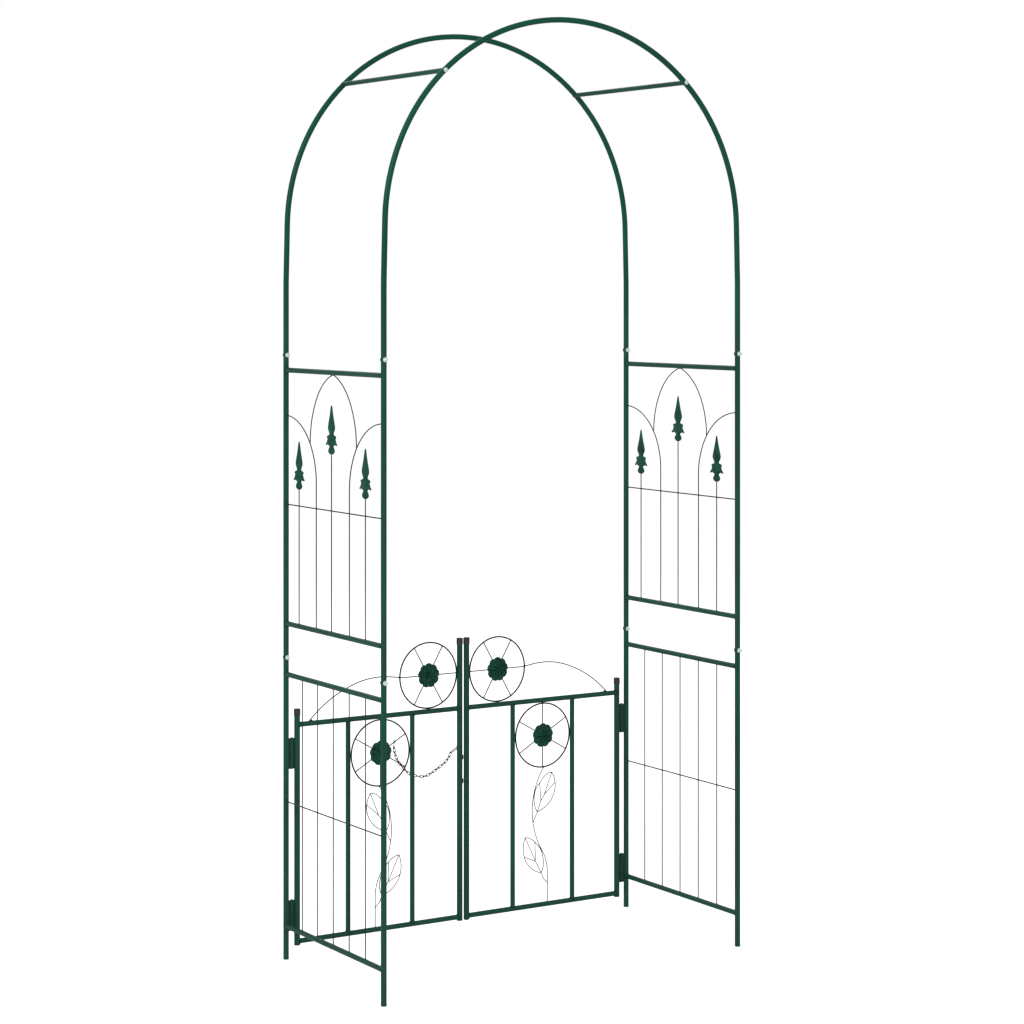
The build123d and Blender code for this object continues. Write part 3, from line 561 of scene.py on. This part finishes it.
gateWelds = {
    "y": 250.5, "hingeStile": 487.7, "meetingStile": 10.4, "stileRadius": 7.5, "railRadius": 6.5,
    "barRadius": 6.25,
    "rails": (40.5, 586.0), "bars": (153.4, 342.0), "tubeBead": 1.15, "wireBead": 0.8, "ringOuter": 87.0,
    "upperRing": (105.2, 679.7), "lowerRing": (247.7, 492.2), "ringMiddle": 85.0, "spokes": {"upper": 0,
                                                                                             "lower": 30},
    "wireFoot": (447.0, 593.5), "stemFoot": 262.9, "hinges": (69.0, 476.5), "hingeTall": 77.0,
    "hingeX": 503.2, "postX": 518.75,
}
for side, sx in sides.items():
    look = gateWelds
    verts, faces = [], []
    for z in look["rails"]:
        for x, inward in ((look["hingeStile"], -1), (look["meetingStile"], 1)):
            weldBead(verts, faces, (sx * x, look["y"], z), (sx * inward, 0, 0), (0, 0, 1),
                     look["railRadius"], look["stileRadius"],
                     look["tubeBead"])
        for x in look["bars"]:
            up = 1 if z < 300 else -1
            weldBead(verts, faces, (sx * x, look["y"], z), (0, 0, up), (1, 0, 0), look["barRadius"],
                     look["railRadius"],
                     look["tubeBead"])
    touches = (
        (look["upperRing"][0] - look["ringOuter"] - 0.2, look["upperRing"][1], (0.8, 1.3, 2.2)),
        (look["upperRing"][0], look["upperRing"][1] - look["ringOuter"], (2.2, 1.3, 0.8)),
        (look["lowerRing"][0] - look["ringOuter"] - 0.5, look["lowerRing"][1], (0.8, 1.3, 2.2)),
        (look["lowerRing"][0] + look["ringOuter"] + 0.5, look["lowerRing"][1], (0.8, 1.3, 2.2)),
        (look["lowerRing"][0], look["lowerRing"][1] + look["ringOuter"], (2.2, 1.3, 0.8)),
    )
    for x, z, stretch in touches:
        weldBlob(verts, faces, (sx * x, look["y"], z), 2.0, stretch)
    for name, centre in (("upper", look["upperRing"]), ("lower", look["lowerRing"])):
        for turn in range(6):
            angle = math.radians(look["spokes"][name] + 60 * turn)
            reach = look["ringMiddle"] - 1.2
            weldBlob(verts, faces, (sx * (centre[0] + reach * math.cos(angle)), look["y"],
                                    centre[1] + reach * math.sin(angle)),
                     2.2, (1, 0.85, 1))
    weldBlob(verts, faces, (sx * 192.4, look["y"], 681.2), 2.2, (1.1, 0.9, 1))
    weldBlob(verts, faces, (sx * look["wireFoot"][0], look["y"], look["wireFoot"][1]), 2.3, (1.5, 0.95, 0.8))
    weldBlob(verts, faces, (sx * 249.7, look["y"], 405.4), 2.1, (1.2, 1, 0.8))
    weldBead(verts, faces, (sx * look["stemFoot"], look["y"], look["rails"][0]), (0, 0, 1), (1, 0, 0), 1.1,
             look["railRadius"], 0.7)
    # seams down the hinge plates, on the leaf's own tube
    for level in look["hinges"]:
        for face in (-1, 1):
            for step in range(26):
                z = level + 1.5 + step * (look["hingeTall"] - 3) / 25
                weldBlob(verts, faces, (sx * (look["hingeStile"] + 7.2), look["y"] + face * 1.6, z), 1.1,
                         (1, 1, 1.5))
    # these welds take the darker wire coat, with its painted shade
    addPiece(f"gateWelds_{side}", verts, faces, f"{side}_leaf", "green_wire")

    verts, faces = [], []
    for level in look["hinges"]:
        for face in (-1, 1):
            for step in range(26):
                z = level + 1.5 + step * (look["hingeTall"] - 3) / 25
                weldBlob(verts, faces, (sx * (look["postX"] - 6.7), look["y"] + face * 1.6, z), 1.1, (1, 1,
                                                                                                      1.5))
    addPiece(f"postHingeWelds_{side}", verts, faces, "root", "green_hinge")
print("gate welds")

# floor and light
studio = {"floorColor": (0.9, 0.9, 0.895), "worldColor": (1.0, 1.0, 1.0), "worldLight": 0.5, "worldSeen": 1.0,
          "floorRadius": 60.0, "floorGlow": 0.6}
bpy.context.scene.view_settings.view_transform = "Standard"    # keeps the pale backdrop pale


def buildFloor():
    count = 96
    reach = studio["floorRadius"]
    verts = [(reach * math.cos(2 * math.pi * i / count), reach * math.sin(2 * math.pi * i / count),
              -0.0005) for i in range(count)]
    mesh = bpy.data.meshes.new("floor")
    mesh.from_pydata(verts, [], [tuple(range(count))])
    floor = bpy.data.objects.new("floor", mesh)
    bpy.context.scene.collection.objects.link(floor)
    material = bpy.data.materials.new("floorPaint")
    material.use_nodes = True
    tree = material.node_tree
    place = addNode(tree, "ShaderNodeTexCoord").outputs["Object"]
    drift = ramp(tree, noise(tree, place, 0.8, 4.0), 0.3, 0.7)
    dark = tuple(value * 0.985 for value in studio["floorColor"])
    tree.links.new(mixColor(tree, drift, (*studio["floorColor"], 1), (*dark, 1)),
                   tree.nodes["Principled BSDF"].inputs["Base Color"])
    tree.nodes["Principled BSDF"].inputs["Roughness"].default_value = 0.85
    tree.nodes["Principled BSDF"].inputs["Specular IOR Level"].default_value = 0.2
    tree.nodes["Principled BSDF"].inputs["Emission Color"].default_value = (1, 1, 1, 1)
    seen = addNode(tree, "ShaderNodeLightPath").outputs["Is Camera Ray"]
    tree.links.new(mathNode(tree, "MULTIPLY", seen, studio["floorGlow"]),
                   tree.nodes["Principled BSDF"].inputs["Emission Strength"])
    mesh.materials.append(material)


def addAreaLight(name, place, aim, size, power):
    light = bpy.data.lights.new(name, "AREA")
    light.shape = "RECTANGLE"
    light.size, light.size_y = size
    light.energy = power
    lamp = bpy.data.objects.new(name, light)
    lamp.location = place
    lamp.rotation_euler = (Vector(aim) - Vector(place)).to_track_quat("-Z", "Y").to_euler()
    bpy.context.scene.collection.objects.link(lamp)


buildFloor()
world = bpy.data.worlds.new("studioAir")
world.use_nodes = True
background = world.node_tree.nodes["Background"]
background.inputs["Color"].default_value = (*studio["worldColor"], 1)
airSeen = addNode(world.node_tree, "ShaderNodeLightPath").outputs["Is Camera Ray"]
airStrength = ramp(world.node_tree, airSeen, 0.0, 1.0, studio["worldLight"], studio["worldSeen"])
world.node_tree.links.new(airStrength, background.inputs["Strength"])
bpy.context.scene.world = world
addAreaLight("keyPanel", (-6.0, -3.4, 5.0), (0, 0, 1.1), (3.0, 3.0), 300)
addAreaLight("fillPanel", (4.5, -5.5, 3.0), (0, 0, 1.0), (3.0, 3.0), 40)
addAreaLight("backPanel", (1.5, 6.0, 4.5), (0, 0, 1.2), (4.0, 3.0), 90)
print("studio ready")
